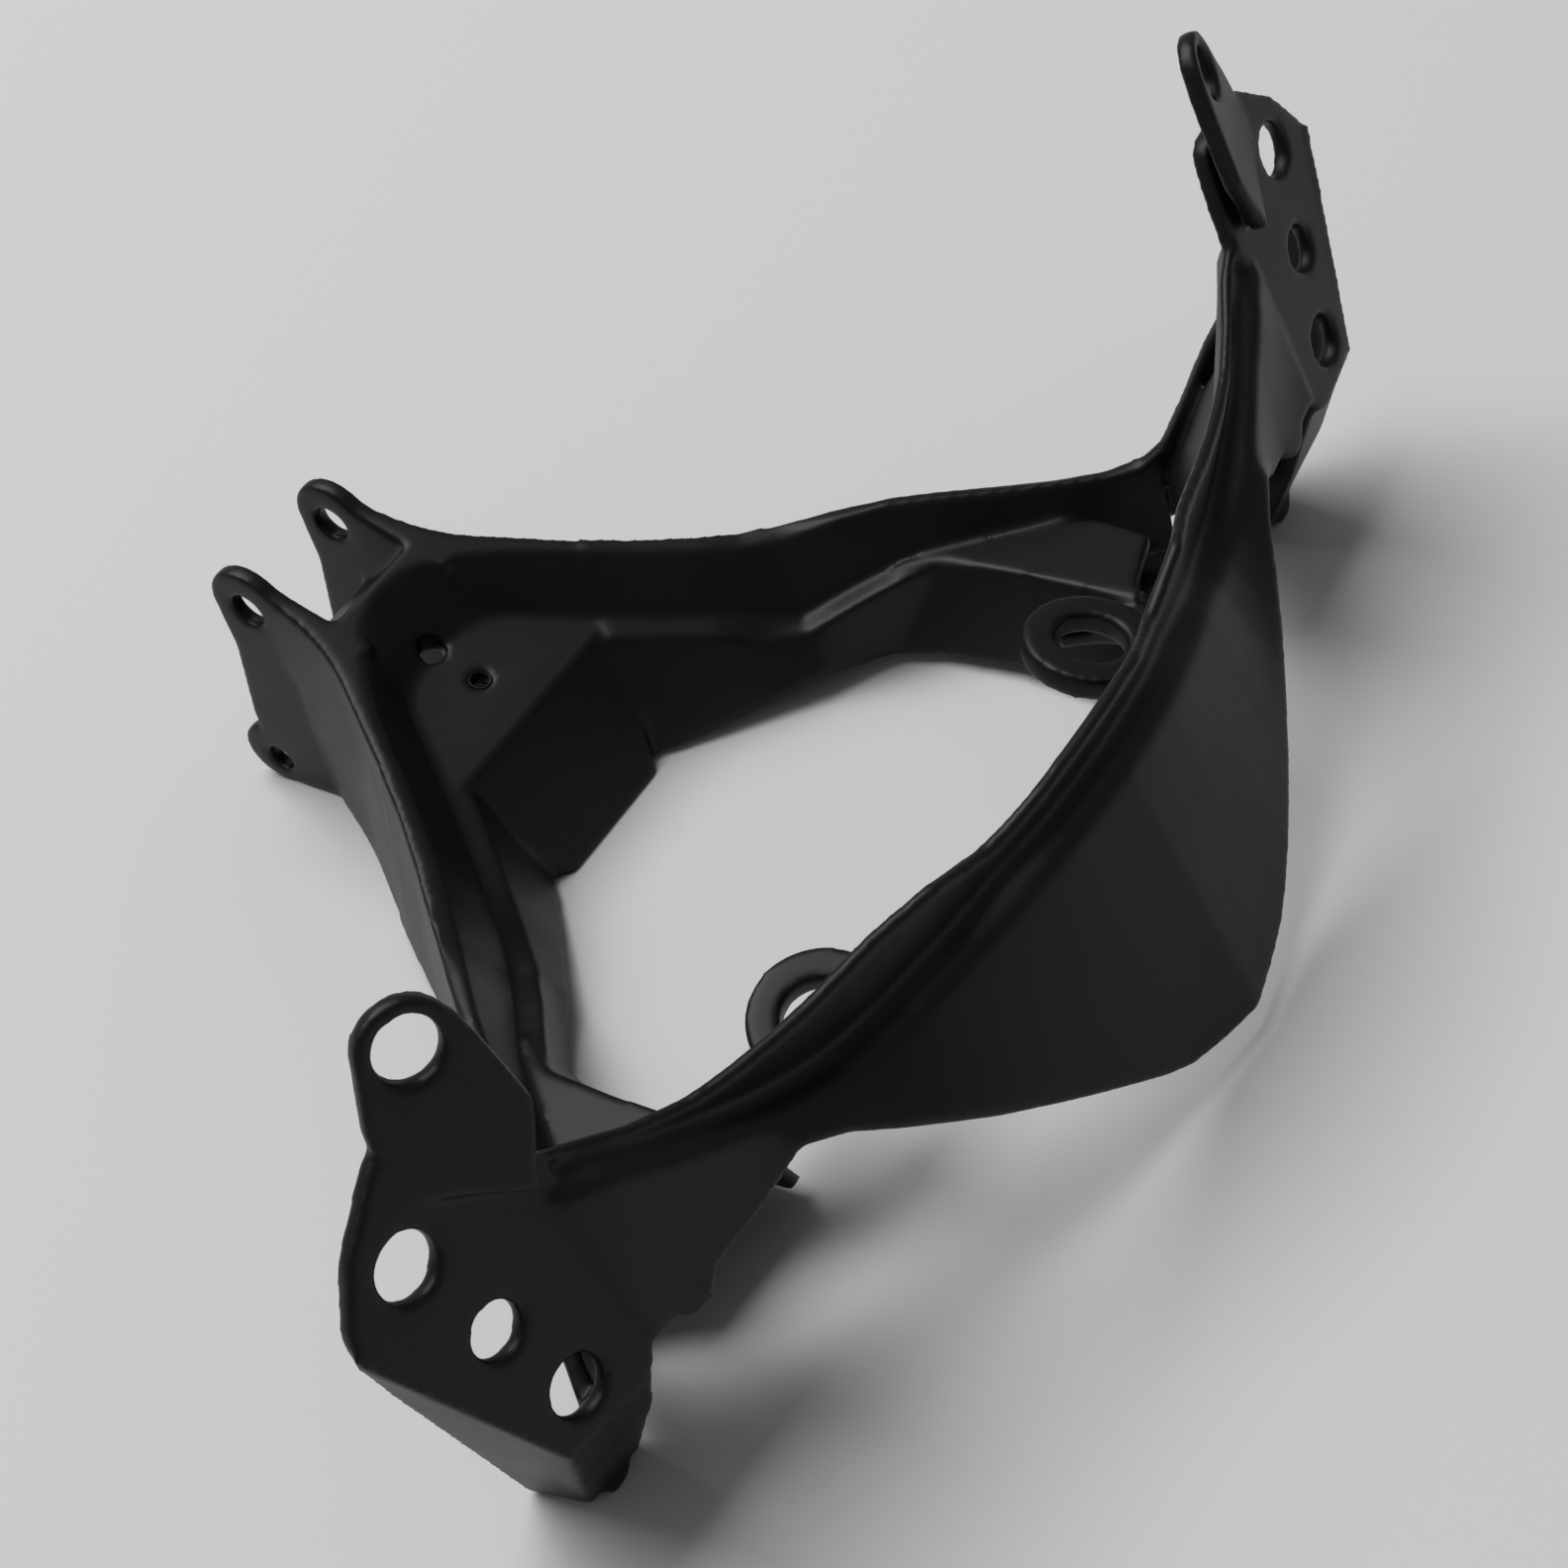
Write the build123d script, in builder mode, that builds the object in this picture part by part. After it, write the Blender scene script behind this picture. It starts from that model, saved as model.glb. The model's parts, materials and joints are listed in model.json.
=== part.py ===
# Headlight mounting bracket of a motorcycle: one aluminium casting, painted matt black.
# Two ears and two lugs clamp it to the frame head behind. Two arms run out from there round an
# open ring, a visor-shaped crossbar closes the ring in front, and an upright plate with four
# holes at each end of the crossbar carries a mirror and the fairing.
#
# Frame while it is modelled: x forward from the axis of the rear bolt, y to the left,
# z up from the table that the casting stands on. The last lines move the origin to the
# middle of the casting's length, on the table.
import os
from math import cos, radians, sin
from build123d import *

os.makedirs("parts", exist_ok=True)

# Driving dimensions, in millimetres and degrees
WALL = 4.0                    # general wall thickness of the casting
REAR_X = -109.25              # rear bolt axis, from the middle of the length

BOLT_Z = 60.9                 # rear bolt axis above the table
BOLT_HOLE = 8.8               # diameter of the ear holes, for an M8 bolt
EAR_RADIUS = 10.6
EAR_OUTSIDE = 18.3            # outer face of an ear from the middle plane
EAR_THICK = 4.5
LUG_HOLE = 7.0                # diameter of the lower lug holes, for an M6 bolt
LUG_X, LUG_Z = -13.5, 7.9     # centre of the lower lug hole
LUG_RADIUS = 8.8

TRAY_SLOPE = 22.3             # the rim and the shelf both fall this much towards the front
RIM_Z = 71.0                  # height of the rim plane above the bolt axis line
SHELF_Z = 57.8                # height of the shelf plane above the bolt axis line
CENTRE_HOLE = 6.6             # plain hole in the shelf
CENTRE_HOLE_X = 35.2
THREAD_HOLE = 5.0             # core of the M6 thread beside it
THREAD_HOLE_X = 47.9

ARM_ANGLE = 40.0              # the arms run out at this angle to the middle plane
PLATE_THICK = 4.2
MIRROR_HOLE_TOP = 12.5        # diameters of the holes in the mirror plate
MIRROR_HOLE_MID = 10.7
MIRROR_HOLE_LOW = 11.8
TIP_HOLE = 12.3
RING_HOLE = 16.2              # diameter of the lamp ring hole
RING_WIDTH = 7.2
RING_THICK = 6.0
WEB_BOSS = 12.0               # diameter of the boss under the web of the mirror plate
FOOT_BOSS = 8.0               # diameter of the boss at the foot


def rim_height(x):
    """Height of the rim plane at a distance x from the bolt axis."""
    return RIM_Z - x * sin(radians(TRAY_SLOPE)) / cos(radians(TRAY_SLOPE))


def shelf_height(x):
    """Height of the shelf plane at a distance x from the bolt axis."""
    return SHELF_Z - x * sin(radians(TRAY_SLOPE)) / cos(radians(TRAY_SLOPE))


def tilted(height):
    """Plane that falls with the tray, at a height above the bolt axis line."""
    a = radians(TRAY_SLOPE)
    return Plane(origin=(0, 0, height), x_dir=(cos(a), 0, -sin(a)), z_dir=(sin(a), 0, cos(a)))


def in_plan(points):
    """Plan points (x, y) as points of a tilted plane, which is longer along the slope."""
    return [(x / cos(radians(TRAY_SLOPE)), y) for x, y in points]


def square_to_arm(s):
    """Upright plane across the arm, s along its direction, with its x axis outward."""
    a = radians(ARM_ANGLE)
    return Plane(origin=(s * cos(a), s * sin(a), 0), x_dir=(-sin(a), cos(a), 0),
                 z_dir=(cos(a), sin(a), 0))


def with_rows_between(rows, step):
    """A section table with more rows, on smooth curves through the given ones."""
    flat = [(row[0], *[value for point in row[1:] for value in point]) for row in rows]
    last = len(flat) - 1
    finer = []
    for i in range(last):
        here, there = flat[i], flat[i + 1]
        before, after = flat[max(i - 1, 0)], flat[min(i + 2, last)]
        gap = there[0] - here[0]
        count = max(1, round(gap / step))
        for k in range(count):
            t = k / count
            row = []
            for v0, v1, v_before, v_after in zip(here, there, before, after):
                slope_0 = (v1 - v_before) / (there[0] - before[0]) * gap
                slope_1 = (v_after - v0) / (after[0] - here[0]) * gap
                row.append(v0 * (2 * t**3 - 3 * t**2 + 1) + v1 * (3 * t**2 - 2 * t**3)
                           + slope_0 * (t**3 - 2 * t**2 + t) + slope_1 * (t**3 - t**2))
            finer.append(row)
    finer.append(flat[last])
    return [(row[0], *zip(row[1::2], row[2::2])) for row in finer]


def dropped(plane, points):
    """Points of the bracket's frame, dropped square onto a plane."""
    local = [plane.to_local_coords(Vector(*p)) for p in points]
    return [(v.X, v.Y) for v in local]


# Side plate of the rear mount: ear above, lug below
with BuildPart() as side_plate:
    with BuildSketch(Plane.XZ.offset(-EAR_OUTSIDE)):
        with Locations((0.4, BOLT_Z + 0.9)):
            Circle(EAR_RADIUS)
        with BuildLine():
            Polyline((-10.2, BOLT_Z - 2), (-10.0, 48), (-15.5, 24), (-17, 8), (-10, 0.2),
                     (8, 0.2), (22, 12), (34, rim_height(34)), (13.5, rim_height(13.5)),
                     (4.5, BOLT_Z + 9.3), close=True)
        make_face()
        with Locations((LUG_X - 1.7, LUG_Z + 1.2)):
            Circle(LUG_RADIUS)
        with Locations((0, BOLT_Z)):
            Circle(BOLT_HOLE / 2, mode=Mode.SUBTRACT)
        with Locations((LUG_X, LUG_Z)):
            Circle(LUG_HOLE / 2, mode=Mode.SUBTRACT)
    extrude(amount=EAR_THICK)

# Rear block: the tray behind the ring, with its outer walls flaring out to the arms
RIDGE_REAR = [(6, 18.3), (17.9, 19.4), (28.1, 22.9), (38.7, 29.8), (51.7, 38.9), (66, 50)]
FOOT_REAR = [(3, 18.3), (14, 24.5), (26, 32), (38, 41), (50, 49.5), (60, 56)]
FRONT_TOP = (61.3, 32.7)      # x and z of the shelf's front edge
FRONT_FOOT = (75.8, 1.0)      # x and z of the front wall's lower edge

with BuildPart() as rear_block:
    with BuildSketch(Plane.XY):
        with BuildLine():
            Spline(*FOOT_REAR)
            Polyline(FOOT_REAR[-1], (90, FOOT_REAR[-1][1]), (90, 0), (FOOT_REAR[0][0], 0),
                     FOOT_REAR[0])
        make_face()
    with BuildSketch(tilted(RIM_Z)):
        with BuildLine():
            Spline(*in_plan(RIDGE_REAR))
            Polyline(*in_plan([RIDGE_REAR[-1], (90, RIDGE_REAR[-1][1]), (90, 0),
                               (RIDGE_REAR[0][0], 0), RIDGE_REAR[0]]))
        make_face()
    loft()
    # The well: round at the rear, with sloping walls down to the shelf
    with BuildSketch(tilted(RIM_Z + 0.01)):
        with BuildLine():
            Spline(*in_plan([(26.5, 0), (32.1, 15.6), (42.7, 27.2), (61.3, 41.5), (80, 56.5)]),
                   tangents=[(0, 1), (0.8, 0.6)])
            Polyline(*in_plan([(80, 56.5), (110, 56.5), (110, 0), (26.5, 0)]))
        make_face()
    with BuildSketch(tilted(SHELF_Z)):
        with BuildLine():
            Spline(*in_plan([(36.4, 0), (39.9, 15.9), (47.0, 21.7), (64.7, 34.5), (83, 49.2)]),
                   tangents=[(0, 1), (0.8, 0.6)])
            Polyline(*in_plan([(83, 49.2), (110, 49.2), (110, 0), (36.4, 0)]))
        make_face()
    loft(mode=Mode.SUBTRACT)
    # Front face of the shelf, leaning forward down to the table
    with BuildSketch(Plane.XZ.offset(10)):
        with BuildLine():
            Polyline((FRONT_TOP[0] - 2.7, 38.6), FRONT_TOP, FRONT_FOOT, (FRONT_FOOT[0], -5),
                     (130, -5), (130, 90), (61, 90), close=True)
        make_face()
    extrude(amount=-90, mode=Mode.SUBTRACT)
    # Saddle between the ears
    with BuildSketch(Plane.XZ.offset(10)):
        with BuildLine():
            Spline((24.0, 61.2), (12, 49.5), (-4, 40.5), (-14, 36))
            Polyline((-14, 36), (-14, 90), (24, 90), (24.0, 61.2))
        make_face()
    extrude(amount=-(10 + EAR_OUTSIDE - EAR_THICK), mode=Mode.SUBTRACT)
    # Hollow underneath
    with BuildSketch(Plane.XZ.offset(10)):
        with BuildLine():
            Polyline((-30, -5), (-30, 24), (-12, 31.5), (4, 39.0), (20.5, 52.0), (29.5, 40.0),
                     (58.2, 28.4), (FRONT_FOOT[0] - 5.0, -2), (FRONT_FOOT[0] - 5.0, -5), close=True)
        make_face()
    extrude(amount=-(10 + 19), mode=Mode.SUBTRACT)
    with Locations((CENTRE_HOLE_X, 0, shelf_height(CENTRE_HOLE_X))):
        Cylinder(CENTRE_HOLE / 2, 20, rotation=(0, TRAY_SLOPE, 0), mode=Mode.SUBTRACT)
    with Locations((THREAD_HOLE_X, 0, shelf_height(THREAD_HOLE_X))):
        Cylinder(THREAD_HOLE / 2, 20, rotation=(0, TRAY_SLOPE, 0), mode=Mode.SUBTRACT)
    split(bisect_by=square_to_arm(69), keep=Keep.BOTTOM)

# Arm: a thin channel, open below, that steps down from the rim to the shelf and to its foot.
# Each row is one section: distance along the arm, then across and up for the outer foot, the
# ridge, the rim, the shelf, its lip and the inner foot.
ARM_SECTIONS = [
    (66, (6.7, 3), (-3.4, 49.8), (-7.3, 48.7), (-14.8, 33.9), (-20.2, 32), (-31, 1)),
    (78, (5.8, 4), (-4.1, 46), (-7.8, 44.7), (-15.5, 30.2), (-20.3, 28.3), (-30, 2.2)),
    (92, (4.3, 5), (-3.9, 42.1), (-8, 40.8), (-15.6, 26.4), (-20.5, 24.2), (-28, 4.2)),
    (102, (3.3, 6), (-3.3, 39.6), (-7.7, 37.9), (-15.4, 22.6), (-20.5, 18.6), (-26.4, 5.4)),
    (112, (2.3, 7), (-3.1, 38.6), (-7.2, 36.7), (-14.6, 18.9), (-20.2, 17.6), (-25, 6.6)),
    (124, (0.6, 9), (-2.7, 38.4), (-6.9, 38.7), (-13.3, 22), (-19.5, 21.6), (-21, 4)),
    (138, (0, 10), (-2.6, 38), (-6.2, 38.4), (-11.8, 25), (-17.4, 24.4), (-18.2, 6)),
    (158, (-0.6, 10), (-2.8, 34.5), (-6.5, 35.4), (-11.5, 25.4), (-14.5, 24.8), (-16, 8)),
    (178, (-0.8, 9), (-2.8, 30.4), (-6.6, 32.4), (-11.5, 24.6), (-14, 24), (-15.5, 8)),
    (190, (-0.8, 8), (-2.8, 29.4), (-6.6, 30.6), (-11.5, 18.5), (-13.5, 17.8), (-15.2, 6)),
    (203, (-0.8, 6), (-2.8, 32), (-6.6, 29.5), (-10.5, 12), (-12.5, 11), (-14.5, 4)),
]

with BuildPart() as arm:
    for s, foot_out, ridge, rim, shelf, lip, foot_in in with_rows_between(ARM_SECTIONS, 11):
        inside = [(foot_in[0] + WALL, foot_in[1]), (lip[0] + WALL, lip[1] - WALL),
                  (shelf[0] + 2.5, shelf[1] - WALL), ((ridge[0] + rim[0]) / 2, rim[1] - 9),
                  (foot_out[0] - WALL, foot_out[1])]
        with BuildSketch(square_to_arm(s)):
            with BuildLine():
                Polyline(foot_out, ridge, rim, shelf, lip, foot_in, *inside, close=True)
            make_face()
    loft(ruled=True)

# Lower wall of the ring: it leaves the arm's inner foot and runs straight forward
LOWER_WALL = [(106, 65, 70, 22), (114, 69.4, 77.5, 23), (124, 73, 82, 25), (142, 75, 83.4, 26.5),
              (162, 73.4, 83.0, 27.5), (175, 72.4, 82.6, 28.5)]
LEDGE = [(112, 76, 25), (124, 83.4, 26), (174, 82.6, 28.5), (166, 106, 25), (150, 108, 24.5),
         (130, 97, 25)]

with BuildPart() as lower_wall:
    for x, y_foot, y_top, z_top in LOWER_WALL:
        with BuildSketch(Plane.YZ.offset(x)):
            with BuildLine():
                Polyline((y_foot, 3.2), (y_top, z_top), (y_top + WALL, z_top),
                         (y_foot + WALL, 3.2), close=True)
            make_face()
    loft(ruled=True)

# Ledge that closes the corner between the arm and the lower wall
with BuildPart() as ledge:
    ledge_plane = Plane(origin=LEDGE[1], x_dir=(1, 0, 0.047), z_dir=(-0.047, 0.080, 0.996))
    with BuildSketch(ledge_plane):
        with BuildLine():
            Polyline(*dropped(ledge_plane, LEDGE), close=True)
        make_face()
    extrude(amount=-WALL)

# Lamp ring, a round tab on a three-cornered gusset that joins it to the arm
RING_CENTRE = (178.6, 57.5, 40.0)
ring_plane = Plane(origin=RING_CENTRE, x_dir=(0.96, 0, -0.20), z_dir=(0.20, 0.18, 0.96))
gusset_plane = Plane(origin=(176, 57, 36.5), x_dir=(1, 0, 0.2), z_dir=(-0.2, 0.4, 1))
GUSSET = [(116, 84, 23), (124, 91.0, 21), (145, 108, 15), (163, 120, 11), (175, 111, 16),
          (177, 90, 25), (189, 70, 33), (186, 58, 37), (170, 56, 36), (163, 68, 32),
          (161, 82, 23), (126, 83, 16)]

with BuildPart() as lamp_ring:
    with BuildSketch(gusset_plane):
        with BuildLine():
            Polyline(*dropped(gusset_plane, GUSSET), close=True)
        make_face()
    extrude(amount=-WALL)
    with BuildSketch(ring_plane.offset(6)):
        Circle(RING_HOLE / 2 + 3)
    extrude(amount=-20, mode=Mode.SUBTRACT)
    with BuildSketch(ring_plane):
        Circle(RING_HOLE / 2 + RING_WIDTH)
        Circle(RING_HOLE / 2, mode=Mode.SUBTRACT)
    extrude(amount=-RING_THICK)

# Mirror plate: front faces of its two parts, and the four holes
HOLE_TOP = (177.4, 164.6, 94.5)
HOLE_MID = (183.5, 159.0, 72.4)
HOLE_LOW = (190.5, 153.6, 52.0)
TIP = (174.8, 144.7, 126.8)
plate_plane = Plane(origin=HOLE_TOP, x_dir=(-0.1035, 0.9946, 0), z_dir=(0.955, 0.100, 0.279))
tip_plane = Plane(origin=TIP, x_dir=(-0.4126, 0.9109, 0), z_dir=(0.883, 0.400, 0.257))
PLATE_OUTLINE = [(173, 158, 114), (174.2, 172.4, 103.2), (177.0, 181.3, 91), (184.6, 172.2, 68.5),
                 (193.0, 162.2, 42.8), (195.6, 141.5, 40.6), (194.2, 136, 48), (189, 133.5, 68),
                 (180.6, 134.8, 96), (175.2, 137.5, 112)]
TIP_OUTLINE = [(171.2, 152.6, 130), (172.2, 157.6, 117), (176, 159, 104), (184, 140, 90),
               (186.5, 134, 106.6), (181.7, 135.0, 121), (178.9, 135.9, 128.4)]
TIP_RADIUS = 9.3
SKIRT = [(177.2, 181.6, 91), (184.6, 172.4, 68.5), (192.8, 162.8, 43), (187, 160.5, 26),
         (177, 154.5, 1), (162.4, 155.6, 1), (168.4, 168.4, 44), (172.4, 176.8, 72),
         (175.6, 181.6, 87)]

with BuildPart() as mirror_plate:
    with BuildSketch(plate_plane):
        with BuildLine():
            FilletPolyline(*dropped(plate_plane, PLATE_OUTLINE), close=True,
                           radius=[6, 7, 7, 30, 9, 7, 8, 10, 12, 6])
        make_face()
    extrude(amount=-PLATE_THICK)
    with BuildSketch(tip_plane):
        with BuildLine():
            Polyline(*dropped(tip_plane, TIP_OUTLINE), close=True)
        make_face()
        with Locations(*dropped(tip_plane, [TIP])):
            Circle(TIP_RADIUS)
    extrude(amount=-PLATE_THICK)
    # Skirt behind the plate's outer edge; it runs on down to the foot
    skirt_plane = Plane(origin=(177.2, 181.9, 90.3), x_dir=(0.929, -0.212, 0),
                        z_dir=(0.212, 0.929, -0.304))
    with BuildSketch(skirt_plane):
        with BuildLine():
            Polyline(*dropped(skirt_plane, SKIRT), close=True)
        make_face()
    extrude(amount=-WALL)

# Leg below the lowest hole, down to the table. Each row is one level section.
LEG = [(44, (194.1, 138.5), (192.4, 162), (187.6, 162), (189.2, 138.5)),
       (22, (186.8, 137), (185.3, 159), (180.3, 159), (181.3, 137)),
       (0, (177.2, 138), (175.4, 152.4), (170, 153.5), (171, 138))]

with BuildPart() as leg:
    for z, *corners in LEG:
        with BuildSketch(Plane.XY.offset(z)):
            with BuildLine():
                Polyline(*corners, close=True)
            make_face()
    loft(ruled=True)
    # Two round bosses: one under the web beside the leg, one at the foot
    with BuildSketch(Plane(origin=(195.3, 125.4, 48), x_dir=plate_plane.x_dir,
                           z_dir=plate_plane.z_dir)):
        Circle(WEB_BOSS / 2)
    extrude(amount=-14)
    with BuildSketch(Plane.YZ.offset(179.2)):
        with Locations((146.4, FOOT_BOSS / 2)):
            Circle(FOOT_BOSS / 2)
    extrude(amount=-8)

# Fin that carries the arm's outer wall up to the back of the mirror plate
FIN = [(186, 14), (186, 29.4), (197, 29.6), (204, 34.4), (210, 45), (216.5, 58), (222.5, 67.4),
       (226.8, 81), (225, 96), (230, 94), (234, 74), (231, 62), (230, 48), (243, 41), (238, 22),
       (222, 12)]

with BuildPart() as fin:
    along = Plane(origin=(0, 0, 0),
                  x_dir=(cos(radians(ARM_ANGLE)), sin(radians(ARM_ANGLE)), 0),
                  z_dir=(sin(radians(ARM_ANGLE)), -cos(radians(ARM_ANGLE)), 0))
    with BuildSketch(along.offset(2.8)):
        with BuildLine():
            Polyline(*FIN, close=True)
        make_face()
    extrude(amount=WALL)

# Inner gusset: it closes the end of the arm's well and leans up to the end of the crossbar
CLOSING = [(198, 86, 53.5), (196, 97, 63.6), (190, 118, 73.4), (186, 130, 78.4), (167, 131, 50),
           (163, 128.5, 22), (181, 100, 34)]

with BuildPart() as closing_gusset:
    closing_plane = Plane(origin=(164.4, 129.3, 36.5), x_dir=(0.482, -0.876, 0),
                          z_dir=(-0.80, -0.44, 0.42))
    with BuildSketch(closing_plane):
        with BuildLine():
            Polyline(*dropped(closing_plane, CLOSING), close=True)
        make_face()
    extrude(amount=-WALL)

# Left half of the crossbar with its visor, one loft outward from the middle. Each row is one section:
# distance from the middle, then x and z of the flange's top, the shoulder and the lower edge.
VISOR_SECTIONS = [
    (0, (217.3, 81.2), (218.3, 68.6), (243.1, 5.8)),
    (20, (216.3, 80.2), (216.8, 67.6), (239.1, 8.8)),
    (34, (211.3, 76.2), (214.3, 65.7), (235.0, 16.8)),
    (50, (210.3, 82.0), (210.2, 62.6), (228.7, 26.6)),
    (63, (205.1, 80.0), (205.8, 58.9), (223.1, 34.8)),
    (80, (200.8, 77.8), (201.2, 58.6), (215.2, 47.2)),
    (97, (196.3, 77.8), (197.2, 64.2), (206.1, 58.0)),
    (107, (193.1, 78.6), (194.3, 69.0), (200.0, 49.8)),
    (118, (188.8, 81.8), (190.0, 74.0), (196.4, 45.5)),
    (128, (184.0, 86.5), (186.3, 80.0), (195.5, 44.6)),
    (138, (182.2, 93.0), (181.6, 83.0), (195.4, 46.5)),
]

with BuildPart() as crossbar:
    for y, top, ridge, edge in with_rows_between(VISOR_SECTIONS, 9):
        with BuildSketch(Plane.XZ.offset(-y)):
            with BuildLine():
                under_top = (top[0] - 3.5, top[1] - 0.5)
                under_edge = (edge[0] - 4.2, edge[1])
                FilletPolyline(under_top, top, (ridge[0] - 3.8, ridge[1] + 2.5),
                               (ridge[0] + 3.2, ridge[1] + 0.5), edge, under_edge,
                               radius=[1.4, 3, 4.5, 1.4])
                Polyline(under_edge, (ridge[0] - 0.6, ridge[1] - 3.4),
                         (ridge[0] - 7.6, ridge[1] - 1.0), under_top)
            make_face()
    loft(ruled=True)

# The left half in two groups, then the whole casting
with BuildPart() as front_end:
    for block in (crossbar, closing_gusset, mirror_plate, leg, fin):
        add(block.part)
    # The holes, drilled square to the faces that they are in
    for plane, centre, diameter in ((plate_plane, HOLE_TOP, MIRROR_HOLE_TOP),
                                    (plate_plane, HOLE_MID, MIRROR_HOLE_MID),
                                    (plate_plane, HOLE_LOW, MIRROR_HOLE_LOW),
                                    (tip_plane, TIP, TIP_HOLE)):
        with BuildSketch(plane.offset(2)):
            with Locations(*dropped(plane, [centre])):
                Circle(diameter / 2)
        extrude(amount=-12, mode=Mode.SUBTRACT)

with BuildPart() as rear_end:
    for block in (rear_block, side_plate, arm, lower_wall, ledge, lamp_ring):
        add(block.part)

with BuildPart() as casting:
    add(front_end.part)
    add(rear_end.part)
    mirror(about=Plane.XZ)

bracket_casting = casting.part.moved(Location((REAR_X, 0, 0)))
bracket_casting.label = "bracket_casting"
export_step(bracket_casting, "parts/bracket_casting.step")
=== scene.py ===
# %% [markdown]
# # A cast headlight bracket, painted matt black
# The real part is one aluminium casting. It bolts to the frame head of a motorcycle and carries
# the headlamp, both mirrors and the fairing. The CAD model already has its shape, so this
# lesson softens its edges as a casting's are, paints it, and lights it like a product picture.

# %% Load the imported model
import json
from math import cos, pi, radians, sin

import bpy
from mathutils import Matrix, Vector


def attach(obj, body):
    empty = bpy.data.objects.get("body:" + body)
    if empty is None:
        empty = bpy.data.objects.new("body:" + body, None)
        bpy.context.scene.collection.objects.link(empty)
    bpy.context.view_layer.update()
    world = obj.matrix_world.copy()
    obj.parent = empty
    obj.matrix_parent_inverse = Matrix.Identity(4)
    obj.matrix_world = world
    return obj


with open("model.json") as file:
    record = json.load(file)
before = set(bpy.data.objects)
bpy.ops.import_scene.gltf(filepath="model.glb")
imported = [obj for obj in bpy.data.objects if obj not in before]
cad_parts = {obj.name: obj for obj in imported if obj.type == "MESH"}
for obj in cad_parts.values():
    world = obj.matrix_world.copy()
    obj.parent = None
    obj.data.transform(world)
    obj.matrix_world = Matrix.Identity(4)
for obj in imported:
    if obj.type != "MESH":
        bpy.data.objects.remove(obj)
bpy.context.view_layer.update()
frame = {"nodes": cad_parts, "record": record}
print("nodes:", sorted(frame["nodes"]))

# %% [markdown]
# ## Units and colours
# Sizes are written in millimetres and colours as the hex values that a paint chart would give.
# Blender works in metres and in linear light, so two small functions turn them.


# %% Millimetres and hex colours
def mm(*sizes):
    """Millimetres to metres: one number, or a vector of them."""
    metres = [size / 1000 for size in sizes]
    return metres[0] if len(metres) == 1 else Vector(metres)


def linear(hex_colour):
    """An sRGB hex colour such as 1c1c1e as a linear RGBA colour."""
    parts = [int(hex_colour[i:i + 2], 16) / 255 for i in (0, 2, 4)]
    light = [c / 12.92 if c <= 0.04045 else ((c + 0.055) / 1.055) ** 2.4 for c in parts]
    return (*light, 1.0)


print("paint black in linear light:", [round(c, 4) for c in linear("111112")])

# %% [markdown]
# ## Adding a node
# Every material here is a small graph. One helper adds a node, sets what it is told to set and
# links its inputs, so a material reads as a list of steps.


# %% Helper that adds one node
def add_node(tree, kind, links=None, values=None, **settings):
    """Adds a node; links maps an input to an output socket, values maps an input to a value."""
    node = tree.nodes.new(kind)
    for name, setting in settings.items():
        setattr(node, name, setting)
    for name, value in (values or {}).items():
        node.inputs[name].default_value = value
    for name, source in (links or {}).items():
        tree.links.new(source, node.inputs[name])
    return node


def new_material(name):
    """An empty node material and its output node."""
    material = bpy.data.materials.new(name)
    material.use_nodes = True
    material.node_tree.nodes.clear()
    return material, add_node(material.node_tree, "ShaderNodeOutputMaterial")


# %% [markdown]
# ## Soft edges of a casting
# A die gives every edge of a casting a small radius, and the paint rounds it a little more. A
# bevel would need clean edges, and this body has many crossing walls, so its skin is rebuilt on
# a fine grid and relaxed, and then its flat walls are thinned out to fewer triangles. All three
# steps are modifiers: the CAD mesh itself stays as it is.

# %% Round the casting's edges
casting = frame["nodes"]["bracket_casting"]
GRID = 0.75           # mm between the points of the new skin
RELAX_STEPS = 16
KEPT_SHARE = 0.25     # of the skin's triangles; the flat walls need few

skin = casting.modifiers.new("cast skin", "REMESH")
skin.mode = "VOXEL"
skin.voxel_size = mm(GRID)
skin.use_smooth_shade = True
relax = casting.modifiers.new("soft edges", "SMOOTH")
relax.factor = 0.5
relax.iterations = RELAX_STEPS
thin_out = casting.modifiers.new("fewer triangles", "DECIMATE")
thin_out.ratio = KEPT_SHARE
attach(casting, "root")
print("skin grid", GRID, "mm")

# %% [markdown]
# ## Matt black paint on cast aluminium
# The finish is a thin coat of baked acrylic paint over the as-cast surface: near-black, dull,
# with a fine even grain under it that only shows where light glances off. Paint is a dielectric
# with an IOR near 1.5, and its fine pigment halves the gloss. The grain is noise at the size of
# the casting's skin, about 0.6 mm.

# %% Paint
CAST_GRAIN = 0.6      # mm between bumps of the casting's skin
DUST_PATCH = 18.0     # mm across a patch where the paint is a little duller

paint, output = new_material("matt_black_paint_on_cast_aluminium")
tree = paint.node_tree
place = add_node(tree, "ShaderNodeTexCoord")
grain = add_node(tree, "ShaderNodeTexNoise", {"Vector": place.outputs["Object"]},
                 {"Scale": 1 / mm(CAST_GRAIN), "Detail": 3.0, "Roughness": 0.6})
patches = add_node(tree, "ShaderNodeTexNoise", {"Vector": place.outputs["Object"]},
                   {"Scale": 1 / mm(DUST_PATCH), "Detail": 4.0, "Roughness": 0.55})
colour = add_node(tree, "ShaderNodeMix", {"Factor": patches.outputs["Fac"]}, data_type="RGBA")
colour.inputs["A"].default_value = linear("0e0e0f")
colour.inputs["B"].default_value = linear("131314")
dullness = add_node(tree, "ShaderNodeMapRange", {"Value": patches.outputs["Fac"]},
                    {"From Min": 0.3, "From Max": 0.7, "To Min": 0.38, "To Max": 0.44})
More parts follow.
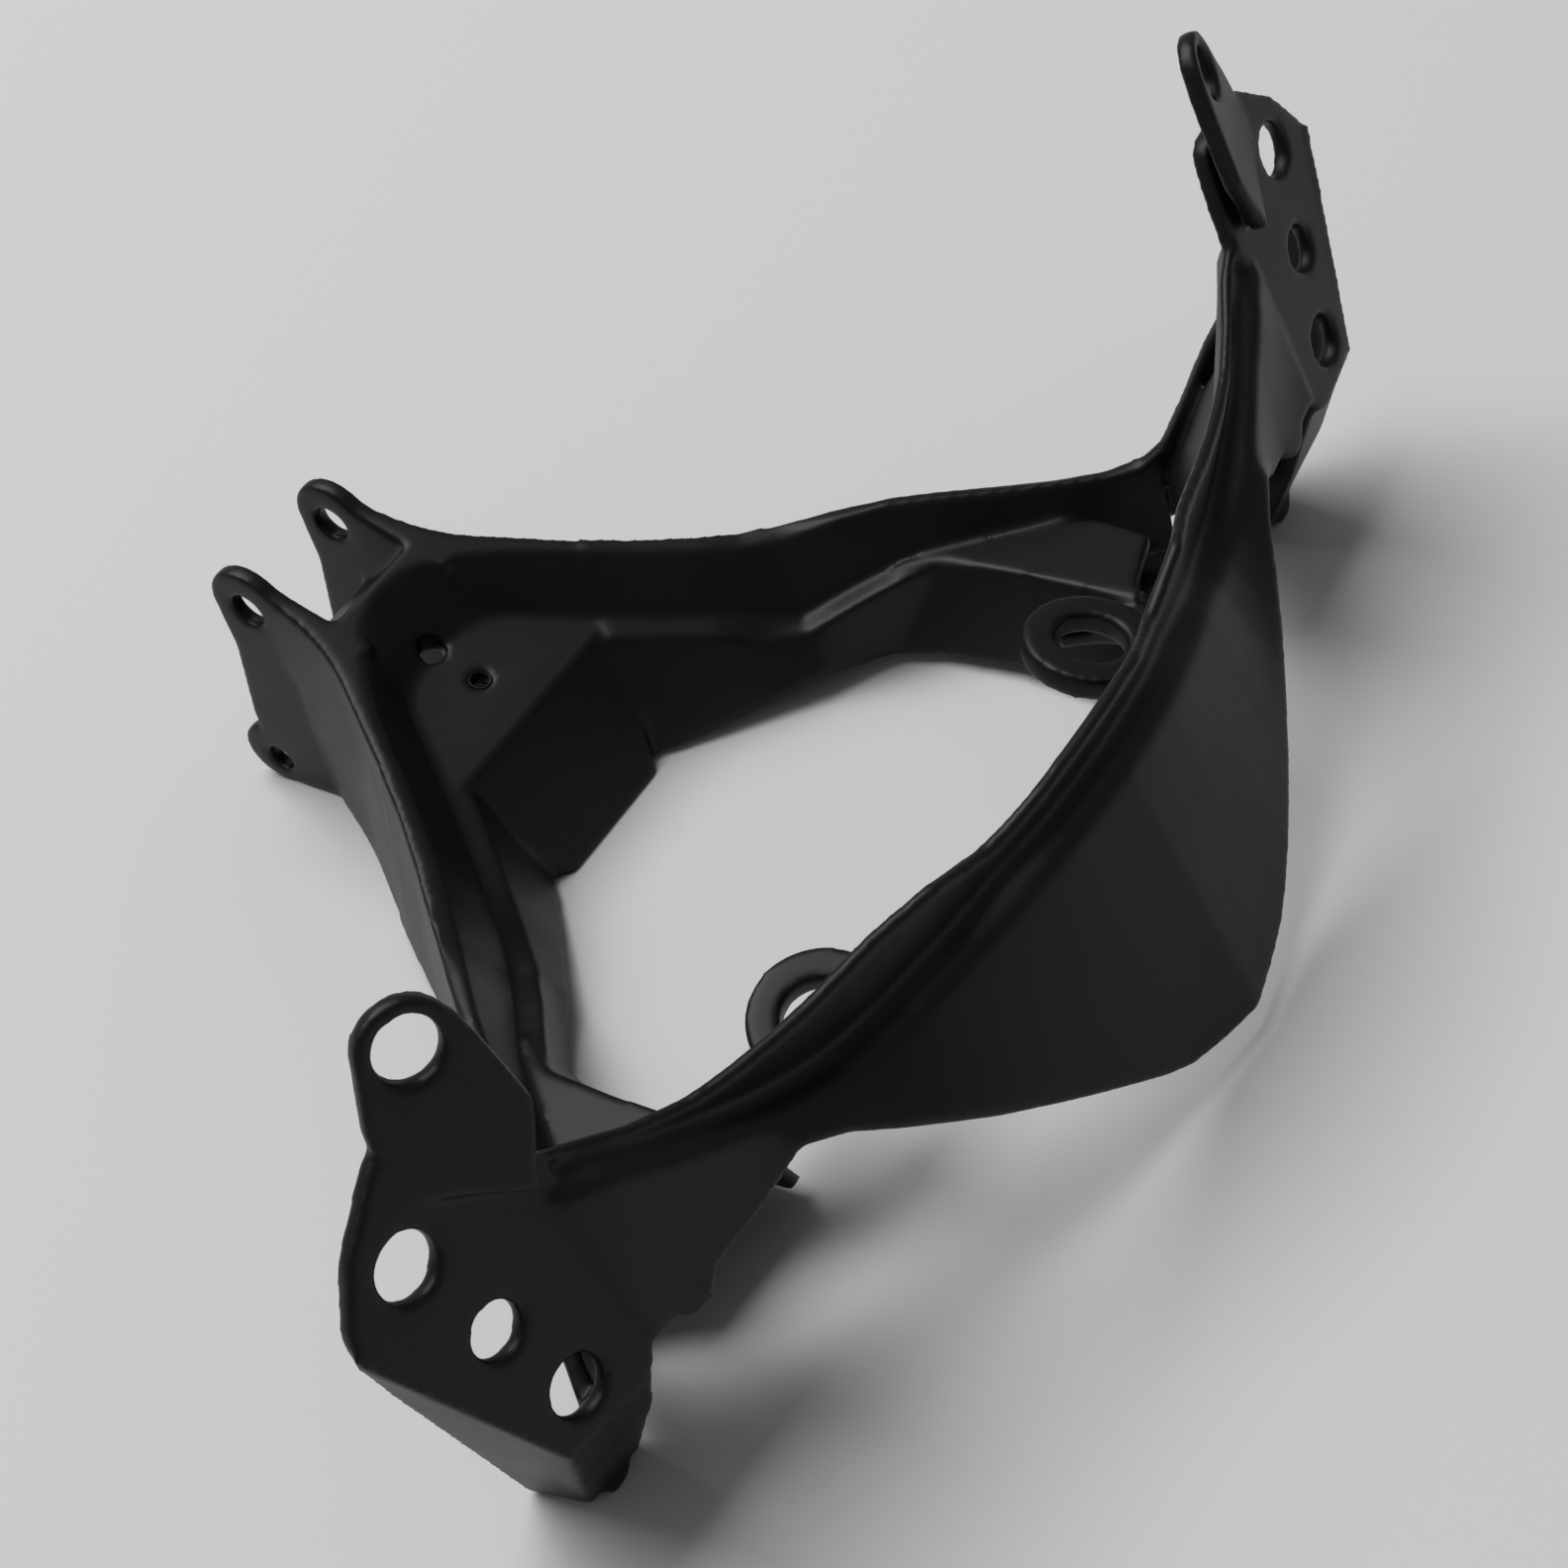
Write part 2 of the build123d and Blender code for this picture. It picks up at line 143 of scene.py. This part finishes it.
relief = add_node(tree, "ShaderNodeBump", {"Height": grain.outputs["Fac"]},
                  {"Strength": 0.25, "Distance": mm(0.05)})
surface = add_node(tree, "ShaderNodeBsdfPrincipled",
                   {"Base Color": colour.outputs["Result"],
                    "Roughness": dullness.outputs["Result"],
                    "Normal": relief.outputs["Normal"]},
                   {"IOR": 1.5, "Specular IOR Level": 0.25})
tree.links.new(surface.outputs["BSDF"], output.inputs["Surface"])
for slot in casting.material_slots:
    slot.material = paint
print("paint on", len(casting.material_slots), "slot")

# %% [markdown]
# ## The thread in the shelf
# The smaller of the two holes in the shelf is tapped M6. Its crests are one fine helix on the
# hole's wall, 1 mm from turn to turn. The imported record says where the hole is.

# %% Thread
THREAD_PITCH = 1.0    # mm
CREST = 0.22          # mm, radius of the rounded crest
TURNS = 5
STEPS = 24            # points in one turn

hole = next(m for m in frame["record"]["mounts"] if m["name"] == "thread_hole")
core_radius = hole["dims"]["r_mm"]
helix = bpy.data.curves.new("shelf_thread", "CURVE")
helix.dimensions = "3D"
helix.bevel_depth = mm(CREST)
helix.bevel_resolution = 1
crest = helix.splines.new("POLY")
crest.points.add(TURNS * STEPS)
for i, point in enumerate(crest.points):
    angle = 2 * pi * i / STEPS
    height = THREAD_PITCH * (i / STEPS - TURNS / 2)
    point.co = (*mm(core_radius * cos(angle), core_radius * sin(angle), height), 1.0)
thread = bpy.data.objects.new("shelf_thread", helix)
thread.location = hole["pos_m"]
thread.rotation_euler = Vector(hole["axis"]).to_track_quat("Z", "Y").to_euler()
bpy.context.collection.objects.link(thread)
helix.materials.append(paint)
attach(thread, "root")
print("thread: M6,", TURNS, "turns")

# %% [markdown]
# ## The table
# The casting lies on a pale grey table that runs out of the picture on every side.

# %% Floor
floor_mesh = bpy.data.meshes.new("table")
HALF = mm(4000)
floor_mesh.from_pydata([(-HALF, -HALF, 0), (HALF, -HALF, 0), (HALF, HALF, 0), (-HALF, HALF, 0)],
                       [], [(0, 1, 2, 3)])
table = bpy.data.objects.new("table", floor_mesh)
bpy.context.collection.objects.link(table)
table_top, table_output = new_material("pale_table")
top = add_node(table_top.node_tree, "ShaderNodeBsdfPrincipled", None,
               {"Base Color": linear("cbcbca"), "Roughness": 0.7, "Specular IOR Level": 0.2})
table_top.node_tree.links.new(top.outputs["BSDF"], table_output.inputs["Surface"])
table.data.materials.append(table_top)
print("table reaches", round(HALF, 1), "m each way")

# %% [markdown]
# ## Camera
# The camera was worked out from the casting's two mirrored halves in the picture. It is placed
# from the rear bolt's axis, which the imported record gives.

# %% Camera
bolt = next(m for m in frame["record"]["mounts"] if m["name"] == "ear_bolt")
BOLT_HEIGHT = 60.9                          # mm above the table
CAMERA_FROM_BOLT = (443.16, -320.0, 453.58 - BOLT_HEIGHT)
CAMERA_TURN = (45.406, 12.365, 32.301)      # degrees
FOCAL_LENGTH = 64.72                        # on a 36 mm wide sensor

camera_data = bpy.data.cameras.new("camera")
camera_data.sensor_width = 36.0
camera_data.lens = FOCAL_LENGTH
camera_data.clip_start = mm(10)
camera = bpy.data.objects.new("camera", camera_data)
camera.location = Vector((bolt["pos_m"][0], 0, mm(BOLT_HEIGHT))) + mm(*CAMERA_FROM_BOLT)
camera.rotation_euler = [radians(angle) for angle in CAMERA_TURN]
bpy.context.collection.objects.link(camera)
bpy.context.scene.camera = camera
print("camera at", [round(c, 4) for c in camera.location])

# %% [markdown]
# ## Light
# One broad soft light hangs above the casting, on the side of its ears, and the room fills the
# rest. The shadows are pale and lie under the casting and in front of it.


# %% Lights
def soft_box(name, centre, size, power):
    """A square lamp at centre, in mm, that faces the casting."""
    lamp = bpy.data.lights.new(name, "AREA")
    lamp.shape = "SQUARE"
    lamp.size = mm(size)
    lamp.energy = power
    holder = bpy.data.objects.new(name, lamp)
    holder.location = mm(*centre)
    holder.rotation_euler = (-mm(*centre)).to_track_quat("-Z", "Y").to_euler()
    bpy.context.collection.objects.link(holder)
    return holder


KEY_CENTRE = (-2400, 0, 5200)     # mm
KEY_SIZE = 4500                   # mm
KEY_POWER = 340                   # W
ROOM_STRENGTH = 0.21

soft_box("soft light above", KEY_CENTRE, KEY_SIZE, KEY_POWER)

world = bpy.data.worlds.new("room")
world.use_nodes = True
world.node_tree.nodes["Background"].inputs["Color"].default_value = linear("f4f6f8")
world.node_tree.nodes["Background"].inputs["Strength"].default_value = ROOM_STRENGTH
bpy.context.scene.world = world
bpy.context.scene.view_settings.view_transform = "Standard"
print("key light", KEY_POWER, "W, room", ROOM_STRENGTH)
